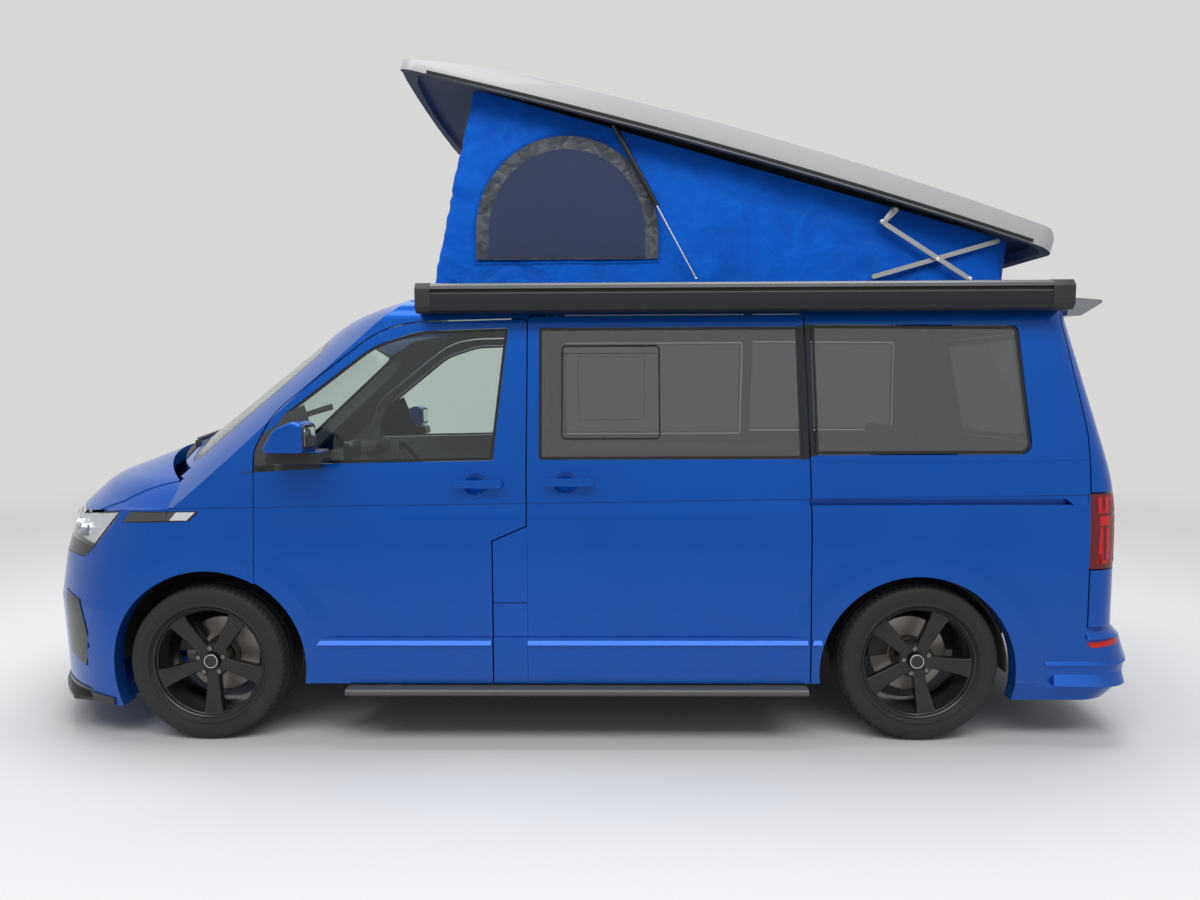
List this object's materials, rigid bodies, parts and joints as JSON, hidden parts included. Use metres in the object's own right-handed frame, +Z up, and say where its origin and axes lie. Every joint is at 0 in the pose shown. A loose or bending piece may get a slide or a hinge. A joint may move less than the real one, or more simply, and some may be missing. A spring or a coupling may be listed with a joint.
{
  "type": "camper van",
  "caption": "Blue camper van with a raised tilting roof and its fabric tent, a side awning, opening doors, bonnet and tailgate, steered front wheels and a furnished cabin",
  "frame": {"origin": "on the ground below the middle of the wheelbase, on the centre line", "axes": "+X to the rear of the van, +Y to its right side, +Z up"},
  "size_m": [4.9356, 2.296, 2.904],
  "materials": {
    "blue_paint": "metallic clear coat",
    "black_plastic": "grained",
    "gloss_black": "gloss",
    "clear_glass": "polished",
    "dark_glass": "privacy tint",
    "lamp_clear": "polished",
    "lamp_red": "gloss",
    "roof_grey": "metallic",
    "fabric_blue": "woven, coated",
    "silver": "metallic",
    "aluminium": "brushed",
    "steel": "machined",
    "cast": "rough",
    "tyre": "rubber",
    "rim_black": "gloss",
    "under_paint": "sealed",
    "cloth": "woven",
    "wood": "laminate"
  },
  "bodies": {
    "van": {"body_shell": "blue_paint", "front_wings": "blue_paint", "scuttle": "black_plastic", "sliding_door": "blue_paint", "windscreen": "clear_glass", "side_glass": "dark_glass", "front_bumper": "blue_paint", "front_trim": "gloss_black", "rear_bumper": "blue_paint", "running_boards": "aluminium", "headlamps": "lamp_clear", "tail_lamps": "lamp_red", "roof_frame": "black_plastic", "roof_tent": "fabric_blue", "awning_case": "aluminium", "rear_axle": "cast", "front_frame": "under_paint", "floor_pan": "under_paint", "engine": "cast", "dashboard": "black_plastic", "steering_wheel": "black_plastic", "front_seats": "cloth", "rear_bench": "cloth", "kitchen_unit": "wood"},
    "bonnet_lid": {"bonnet": "blue_paint"},
    "door_left": {"front_door_left": "blue_paint", "front_door_glass_left": "clear_glass", "mirror_left": "blue_paint"},
    "door_right": {"front_door_right": "blue_paint", "front_door_glass_right": "clear_glass", "mirror_right": "blue_paint"},
    "tailgate_lid": {"tailgate": "blue_paint", "tailgate_glass": "dark_glass", "tailgate_spoiler": "silver"},
    "lift_links": {"lift_arms": "aluminium"},
    "stay_links": {"stay_arms": "aluminium"},
    "roof": {"roof_shell": "roof_grey"},
    "strut_tubes": {"strut_cylinders": "gloss_black"},
    "strut_pistons": {"strut_rods": "steel"},
    "steer_left": {"knuckle_left": "cast"},
    "steer_right": {"knuckle_right": "cast"},
    "wheel_front_left": {"tyre_front_left": "tyre", "rim_front_left": "rim_black"},
    "wheel_front_right": {"tyre_front_right": "tyre", "rim_front_right": "rim_black"},
    "wheel_rear_left": {"tyre_rear_left": "tyre", "rim_rear_left": "rim_black"},
    "wheel_rear_right": {"tyre_rear_right": "tyre", "rim_rear_right": "rim_black"}
  },
  "joints": [
    {"name": "lift_hinge", "type": "hinge", "parent": "van", "child": "lift_links", "pos_m": [1.363, 0, 1.968], "axis": [0, 1, 0], "range_deg": [0, 16]},
    {"name": "roof_hinge", "type": "hinge", "parent": "lift_links", "child": "roof", "pos_m": [1.895, 0, 2.117], "axis": [0, 1, 0], "range_deg": [-33.3, 0.5], "deforming": ["roof_tent"]},
    {"name": "stay_hinge", "type": "hinge", "parent": "van", "child": "stay_links", "pos_m": [1.773, 0, 1.953], "axis": [0, 1, 0], "range_deg": [-31.81, 0]},
    {"name": "strut_hinge", "type": "hinge", "parent": "roof", "child": "strut_tubes", "pos_m": [0.229, 0, 2.614], "axis": [0, 1, 0], "range_deg": [-46.36, 0]},
    {"name": "strut_slide", "type": "slide", "parent": "strut_tubes", "child": "strut_pistons", "axis": [-0.4792, 0, 0.8777], "range_m": [0, 0.3415]},
    {"name": "bonnet_hinge", "type": "hinge", "parent": "van", "child": "bonnet_lid", "pos_m": [-1.5, 0, 1.1], "axis": [0, 1, 0], "range_deg": [0, 50]},
    {"name": "tailgate_hinge", "type": "hinge", "parent": "van", "child": "tailgate_lid", "pos_m": [2.17, 0, 1.872], "axis": [0, 1, 0], "range_deg": [-78, 0]},
    {"name": "door_left_hinge", "type": "hinge", "parent": "van", "child": "door_left", "pos_m": [-1.283, -0.966, 0.8], "axis": [0, 0, 1], "range_deg": [-65, 0]},
    {"name": "door_right_hinge", "type": "hinge", "parent": "van", "child": "door_right", "pos_m": [-1.283, 0.966, 0.8], "axis": [0, 0, 1], "range_deg": [0, 65]},
    {"name": "steer_left_pin", "type": "hinge", "parent": "van", "child": "steer_left", "pos_m": [-1.5, -0.724, 0.332], "axis": [0, 0, 1], "range_deg": [-35, 35]},
    {"name": "steer_right_pin", "type": "hinge", "parent": "van", "child": "steer_right", "pos_m": [-1.5, 0.724, 0.332], "axis": [0, 0, 1], "range_deg": [-35, 35]},
    {"name": "wheel_front_left_spin", "type": "hinge", "parent": "steer_left", "child": "wheel_front_left", "pos_m": [-1.5, -0.814, 0.332], "axis": [0, 1, 0], "continuous": true},
    {"name": "wheel_front_right_spin", "type": "hinge", "parent": "steer_right", "child": "wheel_front_right", "pos_m": [-1.5, 0.814, 0.332], "axis": [0, 1, 0], "continuous": true},
    {"name": "wheel_rear_left_spin", "type": "hinge", "parent": "van", "child": "wheel_rear_left", "pos_m": [1.5, -0.814, 0.332], "axis": [0, 1, 0], "continuous": true},
    {"name": "wheel_rear_right_spin", "type": "hinge", "parent": "van", "child": "wheel_rear_right", "pos_m": [1.5, 0.814, 0.332], "axis": [0, 1, 0], "continuous": true}
  ],
  "couplings": [
    {"joint": "roof_hinge", "follows": "lift_hinge", "ratio": -2.05},
    {"joint": "stay_hinge", "follows": "lift_hinge", "ratio": -1.93},
    {"joint": "strut_hinge", "follows": "lift_hinge", "ratio": -2.813},
    {"joint": "strut_slide", "follows": "lift_hinge", "m_per_rad": 1.1988},
    {"joint": "steer_right_pin", "follows": "steer_left_pin", "ratio": 1}
  ]
}
